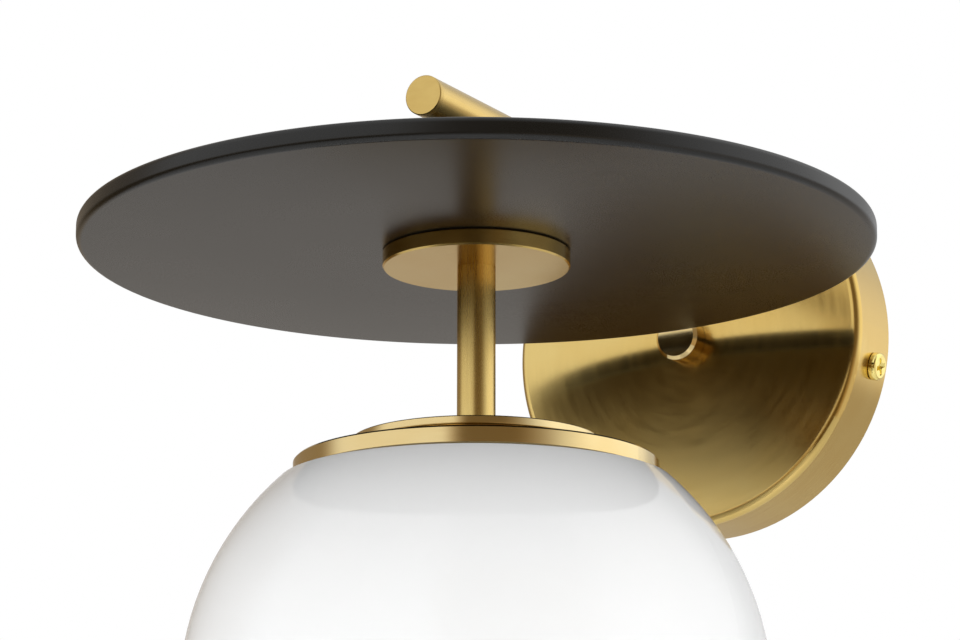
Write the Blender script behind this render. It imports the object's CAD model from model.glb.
import math
import bmesh
import bpy
from mathutils import Matrix, Vector


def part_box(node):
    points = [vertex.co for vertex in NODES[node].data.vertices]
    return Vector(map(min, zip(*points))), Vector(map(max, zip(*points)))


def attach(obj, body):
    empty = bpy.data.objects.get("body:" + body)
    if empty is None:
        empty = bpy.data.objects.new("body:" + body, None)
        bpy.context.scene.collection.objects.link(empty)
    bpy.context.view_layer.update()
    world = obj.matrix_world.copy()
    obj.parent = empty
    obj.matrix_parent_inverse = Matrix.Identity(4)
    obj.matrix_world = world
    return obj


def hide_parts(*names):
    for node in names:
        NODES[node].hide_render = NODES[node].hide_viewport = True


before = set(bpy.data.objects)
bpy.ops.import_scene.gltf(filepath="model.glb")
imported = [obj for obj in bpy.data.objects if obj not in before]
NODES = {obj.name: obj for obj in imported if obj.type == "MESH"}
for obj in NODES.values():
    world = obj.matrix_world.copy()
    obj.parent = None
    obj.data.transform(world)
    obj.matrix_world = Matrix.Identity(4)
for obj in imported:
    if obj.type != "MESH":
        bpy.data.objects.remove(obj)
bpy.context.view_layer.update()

MM = 0.001
WHITE = (1.0, 1.0, 1.0, 1.0)


def box_mm(node):
    """Low and high corner of a node in millimetres"""
    low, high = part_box(node)
    return [v / MM for v in low], [v / MM for v in high]


# Places in the CAD frame, in metres: the stem runs through the disc's middle
disc_low, disc_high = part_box("shade_disc")
STEM_Y = (disc_low[1] + disc_high[1]) / 2
DISC_UNDER = disc_low[2]

# Camera, fitted to the outlines of the object in the photograph
PHOTO_WIDTH = 960.0
FOCAL_PX = 3761.8
AXIS_X_PX = 476.33
SENSOR_WIDTH = 36.0
CAMERA_AZIMUTH = math.radians(30.13)
CAMERA_PITCH = math.radians(13.92)
CAMERA_ROLL = math.radians(0.09)
CAMERA_DISTANCE = 1157.4 * MM
CAMERA_BELOW_DISC = 309.1 * MM
CAMERA_REACH = 100.0


def link(obj):
    bpy.context.scene.collection.objects.link(obj)
    return obj


def make_camera():
    data = bpy.data.cameras.new("camera")
    data.sensor_width = SENSOR_WIDTH
    data.lens = SENSOR_WIDTH * FOCAL_PX / PHOTO_WIDTH
    data.shift_x = (PHOTO_WIDTH / 2 - AXIS_X_PX) / PHOTO_WIDTH
    data.clip_end = CAMERA_REACH
    cam = link(bpy.data.objects.new("camera", data))
    place = Vector((CAMERA_DISTANCE * math.sin(CAMERA_AZIMUTH),
                    STEM_Y - CAMERA_DISTANCE * math.cos(CAMERA_AZIMUTH),
                    DISC_UNDER - CAMERA_BELOW_DISC))
    turn = (Matrix.Rotation(CAMERA_AZIMUTH, 4, "Z")
            @ Matrix.Rotation(math.pi / 2 + CAMERA_PITCH, 4, "X")
            @ Matrix.Rotation(CAMERA_ROLL, 4, "Z"))
    cam.matrix_world = Matrix.Translation(place) @ turn
    bpy.context.scene.camera = cam


class Graph:
    """Short names for building a node tree"""

    def __init__(self, tree):
        self.tree = tree

    def node(self, kind, inputs=None, **props):
        n = self.tree.nodes.new(kind)
        for k, v in props.items():
            setattr(n, k, v)
        for k, v in (inputs or {}).items():
            self.put(n.inputs[k], v)
        return n

    def put(self, socket, value):
        """Link a socket to another, or write a plain value in it"""
        if hasattr(value, "links"):
            self.tree.links.new(value, socket)
        else:
            socket.default_value = value

    def math(self, op, a, b=0.0):
        return self.node("ShaderNodeMath", {0: a, 1: b}, operation=op).outputs[0]

    def place(self):
        return self.node("ShaderNodeTexCoord").outputs["Object"]

    def xyz(self, vector):
        return self.node("ShaderNodeSeparateXYZ", {"Vector": vector}).outputs

    def vec(self, x, y, z):
        return self.node("ShaderNodeCombineXYZ", {"X": x, "Y": y, "Z": z}).outputs[0]

    def noise(self, vector, scale, detail=3.0, rough=0.5):
        n = self.node("ShaderNodeTexNoise", {"Vector": vector, "Scale": scale, "Detail": detail,
                                             "Roughness": rough})
        return n.outputs["Fac"]

    def span(self, value, to_low, to_high, low=0.3, high=0.7):
        """Stretch a noise, which stays mostly between low and high, over a wanted range"""
        n = self.node("ShaderNodeMapRange", {"Value": value, "From Min": low, "From Max": high,
                                             "To Min": to_low, "To Max": to_high})
        return n.outputs[0]

    def smooth(self, value, start, end, to_start=0.0, to_end=1.0):
        n = self.node("ShaderNodeMapRange", {"Value": value, "From Min": start, "From Max": end,
                                             "To Min": to_start, "To Max": to_end},
                      interpolation_type="SMOOTHSTEP")
        return n.outputs[0]

    def mix(self, fac, a, b, blend="MIX"):
        # Sockets 6 and 7 are the two colours of this node
        n = self.node("ShaderNodeMix", data_type="RGBA", blend_type=blend)
        for socket, value in ((0, fac), (6, a), (7, b)):
            self.put(n.inputs[socket], value)
        return n.outputs[2]

    def bump(self, height, strength, distance):
        n = self.node("ShaderNodeBump", {"Height": height, "Strength": strength,
                                         "Distance": distance})
        return n.outputs[0]

    def seen(self):
        """1 for camera rays and for rays through glass"""
        path = self.node("ShaderNodeLightPath")
        return self.math("MAXIMUM", path.outputs["Is Camera Ray"],
                         path.outputs["Is Transmission Ray"])


def linear(r, g, b):
    """sRGB 0..255 to linear"""
    out = []
    for v in (r, g, b):
        v /= 255.0
        out.append(v / 12.92 if v <= 0.04045 else ((v + 0.055) / 1.055) ** 2.4)
    return (*out, 1.0)


def shaded(color, share):
    """The same colour times share, for its darker tone"""
    return tuple(c * share for c in color[:3]) + (1.0,)


def new_material(name):
    mat = bpy.data.materials.new(name)
    mat.use_nodes = True
    mat.node_tree.nodes.clear()
    g = Graph(mat.node_tree)
    out = g.node("ShaderNodeOutputMaterial")
    return mat, g, out


SOCKETS = {"color": "Base Color", "metal": "Metallic", "rough": "Roughness", "normal": "Normal",
           "aniso": "Anisotropic", "turn": "Anisotropic Rotation", "tangent": "Tangent",
           "ior": "IOR", "sss": "Subsurface Weight", "sss_radius": "Subsurface Radius",
           "sss_scale": "Subsurface Scale"}


def principled(g, out, **inputs):
    n = g.node("ShaderNodeBsdfPrincipled", {SOCKETS[k]: v for k, v in inputs.items()})
    g.put(out.inputs["Surface"], n.outputs[0])
    return n


BRASS = (linear(214, 188, 120), linear(208, 176, 102))
PALE_BRASS = (linear(222, 202, 152), linear(218, 192, 134))
SMUDGE = (0.80, 0.74, 0.62, 1.0)
SMUDGE_SHARE = 0.16
BRUSH_BUMP = 0.05
BRUSH_DEPTH = 0.03 * MM
# Brush marks: steps per metre over a turned face or along a tube, and steps round the axis.
# turn sets which way the highlight is drawn out.
BRUSHING = {
    "turned": {"fine": (3200.0, 4.0), "broad": (420.0, 2.2), "turn": 0.25},
    "along": {"fine": (700.0, 40.0), "broad": (60.0, 9.0), "turn": 0.0},
}


def brushed_brass(name, kind, centre=(0.0, 0.0, 0.0), rough=0.17, aniso=0.8, grain=1.0,
                  tones=BRASS):
    """kind turned_y or turned_z: fine rings round that axis. kind along_y or along_z: fine
    lines along it. centre is a point on the axis, in metres"""
    mat, g, out = new_material(name)
    way, axis = kind.split("_")
    brush = BRUSHING[way]
    moved = g.node("ShaderNodeVectorMath", {0: g.place(), 1: centre},
                   operation="SUBTRACT").outputs[0]
    x, y, z = g.xyz(moved)
    u, v, w = (x, z, y) if axis == "y" else (x, y, z)
    radius = g.math("SQRT", g.math("ADD", g.math("MULTIPLY", u, u), g.math("MULTIPLY", v, v)))
    angle = g.math("ARCTAN2", v, u)
    round_u, round_v = g.math("COSINE", angle), g.math("SINE", angle)
    distance = g.math("ADD", radius, w) if way == "turned" else w

    def marks(key, roughness):
        per_metre, around = brush[key]
        stretched = g.vec(g.math("MULTIPLY", distance, per_metre),
                          g.math("MULTIPLY", round_u, around), g.math("MULTIPLY", round_v, around))
        return g.noise(stretched, 1.0, rough=roughness)

    fine, wide = marks("fine", 0.65), marks("broad", 0.55)
    cloud = g.noise(moved, 22.0)
    base = g.mix(g.span(cloud, 0.0, 1.0, low=0.35, high=0.65), *tones)
    streak = g.math("MULTIPLY", g.span(fine, 0.0, 1.0), SMUDGE_SHARE * grain)
    color = g.mix(streak, base, g.mix(1.0, base, SMUDGE, "MULTIPLY"))
    roughness = g.math("ADD", g.span(wide, rough - 0.02 * grain, rough + 0.03 * grain),
                       g.math("MULTIPLY", g.math("SUBTRACT", fine, 0.5), 0.06 * grain))
    height = g.math("ADD", g.math("MULTIPLY", fine, 0.7), g.math("MULTIPLY", wide, 0.3))
    tangent = g.node("ShaderNodeTangent", direction_type="RADIAL", axis=axis.upper())
    principled(g, out, color=color, metal=1.0, rough=roughness, aniso=aniso, turn=brush["turn"],
               normal=g.bump(height, BRUSH_BUMP * grain, BRUSH_DEPTH), tangent=tangent.outputs[0])
    return mat


def metal(name, color, rough, wear=0.1):
    """Plain metal, rougher by wear in places"""
    mat, g, out = new_material(name)
    place = g.place()
    fine = g.noise(place, 900.0, detail=4.0, rough=0.6)
    cloud = g.noise(place, 45.0, detail=4.0, rough=0.55)
    base = g.mix(g.span(cloud, 0.0, 1.0, low=0.35), color, shaded(color, 0.82))
    mean = g.math("ADD", g.math("MULTIPLY", fine, 0.5), g.math("MULTIPLY", cloud, 0.5))
    principled(g, out, color=base, metal=1.0, rough=g.span(mean, rough, rough + wear),
               normal=g.bump(fine, 0.08, 0.03 * MM))
    return mat


def plastic(name, color, rough=0.45, grain=700.0, bump=0.1):
    mat, g, out = new_material(name)
    place = g.place()
    fine = g.noise(place, grain, rough=0.6)
    base = g.mix(g.span(g.noise(place, 60.0), 0.0, 1.0), color, shaded(color, 0.86))
    principled(g, out, color=base, rough=g.span(fine, rough - 0.05, rough + 0.08),
               normal=g.bump(fine, bump, 0.05 * MM))
    return mat


def black_paint():
    mat, g, out = new_material("satin_black_paint")
    place = g.place()
    fine = g.noise(place, 2600.0, rough=0.6)
    cloud = g.noise(place, 16.0)
    base = g.mix(g.span(cloud, 0.0, 1.0), linear(12, 12, 11), linear(15, 15, 14))
    rough = g.math("ADD", g.span(cloud, 0.27, 0.29),
                   g.math("MULTIPLY", g.math("SUBTRACT", fine, 0.5), 0.05))
    principled(g, out, color=base, rough=rough, ior=1.42, normal=g.bump(fine, 0.015, 0.01 * MM))
    return mat


def opal_glass():
    mat, g, out = new_material("opal_glass")
    place = g.place()
    cloud = g.noise(place, 14.0)
    base = g.mix(g.span(cloud, 0.0, 1.0), linear(248, 248, 247), linear(245, 246, 246))
    principled(g, out, color=base, rough=g.span(cloud, 0.06, 0.09), ior=1.5,
               sss=0.5, sss_radius=(1.0, 1.0, 1.0), sss_scale=10.0 * MM,
               normal=g.bump(g.noise(place, 24.0, detail=2.0), 0.02, 0.3 * MM))
    return mat


def frosted_glass():
    mat, g, out = new_material("frosted_bulb_glass")
    fine = g.noise(g.place(), 900.0, rough=0.6)
    principled(g, out, color=linear(244, 243, 238), rough=g.span(fine, 0.3, 0.42), ior=1.5,
               sss=0.4, sss_radius=(1.0, 1.0, 1.0), sss_scale=6.0 * MM,
               normal=g.bump(fine, 0.05, 0.03 * MM))
    return mat


def mesh_object(name, verts, faces, sharp=35.0):
    """Object from points in millimetres, smooth but for edges over sharp degrees"""
    mesh = bpy.data.meshes.new(name)
    mesh.from_pydata([tuple(c * MM for c in v) for v in verts], [], faces)
    mesh.validate()
    work = bmesh.new()
    work.from_mesh(mesh)
    bmesh.ops.recalc_face_normals(work, faces=work.faces)
    work.to_mesh(mesh)
    work.free()
    mesh.polygons.foreach_set("use_smooth", [True] * len(mesh.polygons))
    mesh.set_sharp_from_angle(angle=math.radians(sharp))
    mesh.update()
    return link(bpy.data.objects.new(name, mesh))


def softened(corners, steps=5):
    """Round a closed outline. Corners are (radius, height, rounding) in millimetres"""
    points = []
    count = len(corners)
    for i, (r, h, rounding) in enumerate(corners):
        here = Vector((r, h))
        before = Vector(corners[i - 1][:2]) - here
        after = Vector(corners[(i + 1) % count][:2]) - here
        reach = min(rounding, before.length * 0.49, after.length * 0.49)
        start, end = here + before.normalized() * reach, here + after.normalized() * reach
        for k in range(steps + 1):
            t = k / steps
            points.append(start * (1 - t) ** 2 + here * 2 * t * (1 - t) + end * t ** 2)
    return points


def lathe(name, outline, centre, steps=192):
    """Turn a closed outline of (radius, height) points round the upright axis through centre"""
    verts, faces = [], []
    count = len(outline)
    for i in range(steps):
        a = 2 * math.pi * i / steps
        verts += [(centre[0] + r * math.cos(a), centre[1] + r * math.sin(a), centre[2] + h)
                  for r, h in outline]
    for i in range(steps):
        j = (i + 1) % steps
        for k in range(count):
            m = (k + 1) % count
            faces.append((i * count + k, j * count + k, j * count + m, i * count + m))
    return mesh_object(name, verts, faces)


# Sizes of the pieces below, in millimetres. Pieces on the stem share its axis and its pipe.
STEM_AXIS = (0.0, STEM_Y / MM, 0.0)
PIPE_GAP = 0.2
pipe_low, pipe_high = box_mm("lamp_pipe")
PIPE_BORE = (pipe_high[0] - pipe_low[0]) / 2 + PIPE_GAP

# Cap of the globe holder as the photograph shows it, smaller than the solid and set higher
CAP_RADIUS = 39.5
CAP_TOP_RISE = 1.7
CAP_THICKNESS = 2.7
CAP_EDGE = 0.5
SEAM_INSET = 3.0
FLANGE_BELOW_TOP = 2.6
FLANGE_THICKNESS = 1.4
FITTER_LIP = 4.0
NECK_WALL = 1.5
NECK_EDGE = 0.6
FINE_EDGE = 0.2
LUG_TURNS = (0.0, 120.0, 240.0)
LUG_REACH = 3.0
LUG_ROOT = 0.3
LUG_THICKNESS = 1.6
LUG_WIDTH = 14.0
LUG_CELLS = 10


def cap_lugs(neck_radius, foot):
    """Lugs round the foot of the neck, each a bent bar"""
    verts, faces = [], []
    half = math.asin(LUG_WIDTH / 2 / neck_radius)
    inner, outer = neck_radius - LUG_ROOT, neck_radius + LUG_REACH
    section = ((inner, foot), (outer, foot), (outer, foot + LUG_THICKNESS),
               (inner, foot + LUG_THICKNESS))
    for turn in LUG_TURNS:
        start = len(verts)
        for i in range(LUG_CELLS + 1):
            a = math.radians(turn) - half + 2 * half * i / LUG_CELLS
            verts += [(STEM_AXIS[0] + r * math.cos(a), STEM_AXIS[1] + r * math.sin(a), z)
                      for r, z in section]
        for i in range(LUG_CELLS):
            near, far = start + i * 4, start + i * 4 + 4
            for k in range(4):
                m = (k + 1) % 4
                faces.append((near + k, near + m, far + m, far + k))
        faces.append(tuple(start + k for k in (3, 2, 1, 0)))
        faces.append(tuple(start + LUG_CELLS * 4 + k for k in (0, 1, 2, 3)))
    return mesh_object("globe_cap_lugs", verts, faces)


def globe_cap():
    """Cap on the stem with its neck and three lugs, in place of the plain solid"""
    low, high = box_mm("fitter_plate")
    foot = low[2]
    top = high[2] + CAP_TOP_RISE
    under = top - CAP_THICKNESS
    flange = high[2] - FLANGE_BELOW_TOP
    ceiling = flange - FLANGE_THICKNESS
    step = CAP_RADIUS - SEAM_INSET
    neck = (high[0] - low[0]) / 2 - FITTER_LIP
    outline = softened([(PIPE_BORE, top, FINE_EDGE), (CAP_RADIUS, top, CAP_EDGE),
                        (CAP_RADIUS, under, CAP_EDGE * 0.9),
                        (step, under - FINE_EDGE, FINE_EDGE * 1.5),
                        (step, flange, FINE_EDGE), (neck, flange, NECK_EDGE),
                        (neck, foot, FINE_EDGE), (neck - NECK_WALL, foot, FINE_EDGE),
                        (neck - NECK_WALL, ceiling, FINE_EDGE * 2),
                        (PIPE_BORE, ceiling, FINE_EDGE)])
    cap = lathe("globe_cap", outline, STEM_AXIS)
    lugs = cap_lugs(neck, foot)
    for obj in (cap, lugs):
        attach(obj, "fixture")
    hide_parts("fitter_plate")
    return cap, lugs


DISC_ROUNDING = 2.0
DISC_ROUND_STEPS = 12
DISC_STEPS = 384
# The disc stays this much inside the solid's box
DISC_SIDE_PLAY = 0.01
DISC_FACE_PLAY = 0.005


def black_disc():
    """Disc with its rounded rim in finer steps than the solid"""
    low, high = box_mm("shade_disc")
    radius = (high[0] - low[0]) / 2 - DISC_SIDE_PLAY
    bottom, top = low[2] + DISC_FACE_PLAY, high[2] - DISC_FACE_PLAY
    outline = [(PIPE_BORE, bottom), (radius / 2, bottom)]
    for middle, start in ((bottom + DISC_ROUNDING, -90.0), (top - DISC_ROUNDING, 0.0)):
        for k in range(DISC_ROUND_STEPS + 1):
            a = math.radians(start + 90.0 * k / DISC_ROUND_STEPS)
            outline.append((radius - DISC_ROUNDING * (1 - math.cos(a)),
                            middle + DISC_ROUNDING * math.sin(a)))
    outline += [(radius / 2, top), (PIPE_BORE, top)]
    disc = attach(lathe("black_disc", outline, STEM_AXIS, DISC_STEPS), "fixture")
    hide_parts("shade_disc")
    return disc


HEAD_RADIUS = 4.8
HEAD_HEIGHT = 2.7
HEAD_DISH = 0.04
# Side of the pan head: how far in from its radius, and how far down from its top
HEAD_SIDE = ((0.0, 0.9), (0.12, 0.5), (0.42, 0.18), (0.9, 0.0))
HEAD_CHAMFER = 0.2
HEAD_RINGS = 44
HEAD_STEPS = 144
RECESS_REACH = 3.1
RECESS_HALF = 0.74
RECESS_DEPTH = 1.5
RECESS_SIDE_SLOPE = 0.3
RECESS_END_SLOPE = 0.9
RECESS_BOWL = 1.5
RECESS_BOWL_GAIN = 1.6
SHANK_RADIUS = 2.0
SHANK_LENGTH = 9.4
SCREW_OUT = 10.3
SCREW_BELOW = 11.9
SCREW_SPIN = 24.0
SCREW_GAP = 0.1


def recess(x, y):
    """Depth of the cross at a place on the head, with sloped walls"""
    def arm(along, across):
        side = (RECESS_HALF - abs(across)) / RECESS_SIDE_SLOPE
        end = (RECESS_REACH - abs(along)) / RECESS_END_SLOPE
        return max(0.0, min(1.0, side, end))
    bowl = max(0.0, 1.0 - math.hypot(x, y) / RECESS_BOWL)
    return RECESS_DEPTH * max(arm(x, y), arm(y, x), min(1.0, RECESS_BOWL_GAIN * bowl))


def screw_surface():
    """Points and faces of a pan head screw on its own axis, the head's underside at 0"""
    rings = [(SHANK_RADIUS, -SHANK_LENGTH), (SHANK_RADIUS, 0.0),
             (HEAD_RADIUS - HEAD_CHAMFER, 0.0), (HEAD_RADIUS, HEAD_CHAMFER)]
    rings += [(HEAD_RADIUS - inset, HEAD_HEIGHT - down) for inset, down in HEAD_SIDE]
    # The top's rings take their height from the recess
    flat_radius = rings[-1][0]
    rings += [(flat_radius * (1 - (k + 1) / (HEAD_RINGS + 1)), None) for k in range(HEAD_RINGS)]
    verts, faces = [], []
    for i in range(HEAD_STEPS):
        a = 2 * math.pi * i / HEAD_STEPS
        for r, h in rings:
            x, y = r * math.cos(a), r * math.sin(a)
            if h is None:
                verts.append((x, y, HEAD_HEIGHT - HEAD_DISH * (1 - r / HEAD_RADIUS) - recess(x, y)))
            else:
                verts.append((x, y, h))
    head_middle, shank_end = len(verts), len(verts) + 1
    verts += [(0.0, 0.0, HEAD_HEIGHT - RECESS_DEPTH), (0.0, 0.0, -SHANK_LENGTH)]
    count = len(rings)
    for i in range(HEAD_STEPS):
        here, beside = i * count, (i + 1) % HEAD_STEPS * count
        for k in range(count - 1):
            faces.append((here + k, beside + k, beside + k + 1, here + k + 1))
        faces.append((here + count - 1, beside + count - 1, head_middle))
        faces.append((beside, here, shank_end))
    return verts, faces


def side_screw(name, side):
    """Screw pointing into the canopy's side, side 1 for the right and -1 for the left"""
    flat, faces = screw_surface()
    seat = Vector((0.0, 0.0, box_mm("canopy_cup")[1][0] + SCREW_GAP))
    turn = Matrix.Rotation(math.radians(90.0 + SCREW_BELOW) * side, 3, "Y")
    spin = Matrix.Rotation(math.radians(SCREW_SPIN), 3, "Z")
    forward = Vector((0.0, -SCREW_OUT, 0.0))
    verts = [turn @ (spin @ Vector(v) + seat) + forward for v in flat]
    screw = mesh_object(name, verts, faces, 28.0)
    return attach(screw, "fixture")


def side_screws():
    pair = [side_screw("side_screw_right", 1), side_screw("side_screw_left", -1)]
    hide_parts("side_screws")
    return pair


def make_materials():
    stem = (0.0, STEM_Y, 0.0)
    arm_low, arm_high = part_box("arm_tube")
    arm = (0.0, 0.0, (arm_low[2] + arm_high[2]) / 2)
    return {
        "canopy": brushed_brass("brass_canopy", "turned_y"),
        "knob": brushed_brass("brass_knob", "turned_y", rough=0.14, aniso=0.3, grain=0.5,
                              tones=PALE_BRASS),
        "arm": brushed_brass("brass_arm", "along_y", arm, rough=0.24, aniso=0.5),
        "arm_end": brushed_brass("brass_arm_end", "along_z", arm, rough=0.38, aniso=0.3),
        "hub": brushed_brass("brass_hub", "turned_z", stem, rough=0.2, aniso=0.5),
        "stem": brushed_brass("brass_stem", "along_z", stem, rough=0.27, aniso=0.3),
        "fitter": brushed_brass("brass_fitter", "turned_z", stem, rough=0.16, aniso=0.5,
                                grain=0.6, tones=PALE_BRASS),
        "screw": metal("polished_brass", linear(248, 228, 140), 0.1),
        "steel": metal("zinc_steel", linear(176, 178, 182), 0.3),
        "green_metal": metal("green_zinc", linear(52, 128, 74), 0.32),
        "green": plastic("green_insulation", linear(36, 118, 52)),
        "dark": plastic("switch_housing", linear(38, 38, 40)),
        "white": plastic("white_insulation", linear(226, 224, 216)),
        "black": plastic("black_insulation", linear(26, 26, 26)),
        "orange": plastic("connector_orange", linear(214, 106, 32)),
        "rubber": plastic("grey_silicone", linear(112, 110, 100), rough=0.55),
        "porcelain": plastic("porcelain", linear(236, 233, 226), rough=0.18, grain=200.0,
                             bump=0.03),
        "paint": black_paint(),
        "opal": opal_glass(),
        "frosted": frosted_glass(),
    }


# Which nodes wear which material
WEARERS = {
    "canopy": ("canopy_cup",),
    "knob": ("switch_knob",),
    "arm": ("arm_tube",),
    "arm_end": ("arm_end_plug",),
    "hub": ("hub_plate",),
    "stem": ("upper_stem", "stem_tube"),
    "fitter": ("fitter_plate", "globe_ring"),
    "screw": ("side_screws", "socket_shell", "socket_contact"),
    "steel": ("wall_bracket", "switch_shaft", "switch_nut", "arm_nipple", "arm_washer",
              "arm_lock_nut", "disc_washer", "lamp_pipe", "pipe_nut", "bulb_base"),
    "green_metal": ("ground_screw",),
    "green": ("ground_wire",),
    "dark": ("switch_body",),
    "white": ("wire_bushing", "neutral_wire"),
    "black": ("live_wire", "switch_lead"),
    "orange": ("wire_connectors",),
    "rubber": ("globe_gasket",),
    "porcelain": ("socket_body",),
    "paint": ("shade_disc",),
    "opal": ("globe_glass",),
    "frosted": ("bulb_glass",),
}


def paint_nodes(mats):
    for key, nodes in WEARERS.items():
        for node in nodes:
            for slot in NODES[node].material_slots:
                slot.material = mats[key]


# The studio as the metal mirrors it. Windows are in degrees from straight out of the wall, to
# the right: where each starts, is full, is last full and ends.
RIGHT_PANEL = (70.0, 110.0, 145.0, 175.0)
LEFT_PANEL = (-80.0, -58.0, 8.0, 22.0)
FRONT_GAP = (8.0, 24.0, 52.0, 88.0)
SIDE_GAP = (-150.0, -128.0, -86.0, -64.0)
LOW_RIGHT_PANEL = (60.0, 90.0, 125.0, 145.0)
LOW_FRONT_GAP = (-135.0, -105.0, 28.0, 62.0)
# Upright share of the direction at which the two upper gaps close, and where low begins
GAP_TOP = (-3.0, -2.0, 0.5, 0.8)
LOW_START, LOW_FULL = 0.1, -0.14
UPPER_LEVEL = 0.68
RIGHT_GAIN = 0.75
LEFT_GAIN = 0.42
FRONT_GAP_DEPTH = 0.7
SIDE_GAP_DEPTH = 0.5
LOWER_LEVEL = 0.56
LOW_RIGHT_GAIN = 0.3
LOW_FRONT_DEPTH = 0.42
LOW_WARMTH = 0.2
WARM = (1.0, 0.6, 0.16, 1.0)


def window(g, value, edges):
    """1 between the middle two edges, 0 outside the outer two, smooth in between"""
    start, full, last, end = edges
    return g.math("MULTIPLY", g.smooth(value, start, full), g.smooth(value, last, end, 1.0, 0.0))


def make_world():
    """White studio with two bright sides and a dim, warm gap in front of the object"""
    world = bpy.data.worlds.new("studio")
    world.use_nodes = True
    world.node_tree.nodes.clear()
    g = Graph(world.node_tree)
    out = g.node("ShaderNodeOutputWorld")
    x, y, z = g.xyz(g.node("ShaderNodeTexCoord").outputs["Generated"])
    turn = g.math("MULTIPLY", g.math("ARCTAN2", x, g.math("MULTIPLY", y, -1.0)), 180.0 / math.pi)

    def part(edges, gain):
        return g.math("MULTIPLY", window(g, turn, edges), gain)

    upper = g.math("ADD", g.math("ADD", UPPER_LEVEL, part(RIGHT_PANEL, RIGHT_GAIN)),
                   part(LEFT_PANEL, LEFT_GAIN))
    dim = g.math("MULTIPLY", g.math("MAXIMUM", part(FRONT_GAP, FRONT_GAP_DEPTH),
                                    part(SIDE_GAP, SIDE_GAP_DEPTH)), window(g, z, GAP_TOP))
    upper = g.math("MULTIPLY", upper, g.math("SUBTRACT", 1.0, dim))
    low_front = window(g, turn, LOW_FRONT_GAP)
    lower = g.math("ADD", g.math("ADD", LOWER_LEVEL, part(LOW_RIGHT_PANEL, LOW_RIGHT_GAIN)),
                   g.math("MULTIPLY", low_front, -LOW_FRONT_DEPTH))
    under = g.smooth(z, LOW_START, LOW_FULL)
    level = g.math("ADD", g.math("MULTIPLY", upper, g.math("SUBTRACT", 1.0, under)),
                   g.math("MULTIPLY", lower, under))
    # Only glossy rays are warm, so that the light on the glass stays neutral
    low_shade = g.math("MULTIPLY", g.math("MAXIMUM", low_front, LOW_WARMTH), under)
    glossy = g.node("ShaderNodeLightPath").outputs["Is Glossy Ray"]
    tint = g.mix(g.math("MULTIPLY", g.math("MAXIMUM", dim, low_shade), glossy), WHITE, WARM)
    soft = g.node("ShaderNodeBackground", {"Color": tint, "Strength": level})
    plain = g.node("ShaderNodeBackground", {"Color": WHITE, "Strength": 1.0})
    both = g.node("ShaderNodeMixShader", {0: g.seen(), 1: soft.outputs[0], 2: plain.outputs[0]})
    g.put(out.inputs["Surface"], both.outputs[0])
    bpy.context.scene.world = world


FLOOR_DROP = 1800.0 * MM
FLOOR_HALF = 2.9
FLOOR_CELLS = 8
FLOOR_GLOW = 0.7


def floor_material():
    """Pale floor that camera and glass rays see near white, with part of the shadow left"""
    mat, g, out = new_material("pale_floor")
    place = g.place()
    cloud = g.noise(place, 3.0, detail=4.0, rough=0.55)
    skin = principled(g, out, rough=g.span(g.noise(place, 60.0), 0.6, 0.7),
                      color=g.mix(g.span(cloud, 0.0, 1.0), linear(240, 240, 239),
                                  linear(236, 236, 236)))
    glow = g.node("ShaderNodeEmission", {"Color": WHITE, "Strength": 1.0})
    both = g.node("ShaderNodeMixShader", {0: g.math("MULTIPLY", g.seen(), FLOOR_GLOW),
                                          1: skin.outputs[0], 2: glow.outputs[0]})
    g.put(out.inputs["Surface"], both.outputs[0])
    return mat


def make_floor():
    """Plain pale floor far below the lamp"""
    step = 2 * FLOOR_HALF / FLOOR_CELLS
    row = FLOOR_CELLS + 1
    verts = [(-FLOOR_HALF + i * step, STEM_Y - FLOOR_HALF + j * step, -FLOOR_DROP)
             for j in range(row) for i in range(row)]
    faces = [(j * row + i, j * row + i + 1, (j + 1) * row + i + 1, (j + 1) * row + i)
             for j in range(FLOOR_CELLS) for i in range(FLOOR_CELLS)]
    mesh = bpy.data.meshes.new("floor")
    mesh.from_pydata(verts, [], faces)
    mesh.materials.append(floor_material())
    floor = link(bpy.data.objects.new("floor", mesh))


# Fill lights for the glass: place in metres, size in metres, power in watts
FILLS = {
    "front_fill": ((0.9, -1.9, -0.9), 1.6, 25.0),
    "left_fill": ((-1.7, -0.9, 0.0), 1.4, 11.0),
    "right_fill": ((1.9, -0.8, 0.1), 1.4, 5.0),
}
FILL_AIM = (0.0, STEM_Y, -0.14)


def light_scene():
    make_world()
    for name, (place, size, power) in FILLS.items():
        data = bpy.data.lights.new(name, "AREA")
        data.energy = power
        data.size = size
        lamp = link(bpy.data.objects.new(name, data))
        lamp.location = place
        aim = Vector(FILL_AIM) - Vector(place)
        lamp.rotation_euler = aim.to_track_quat("-Z", "Y").to_euler()
        # Kept out of the mirror images in the metal
        lamp.visible_glossy = False


make_camera()
mats = make_materials()
paint_nodes(mats)
for piece in globe_cap():
    piece.data.materials.append(mats["fitter"])
disc = black_disc()
disc.data.materials.append(mats["paint"])
for piece in side_screws():
    piece.data.materials.append(mats["screw"])
make_floor()
light_scene()
bpy.context.scene.view_settings.view_transform = "Standard"
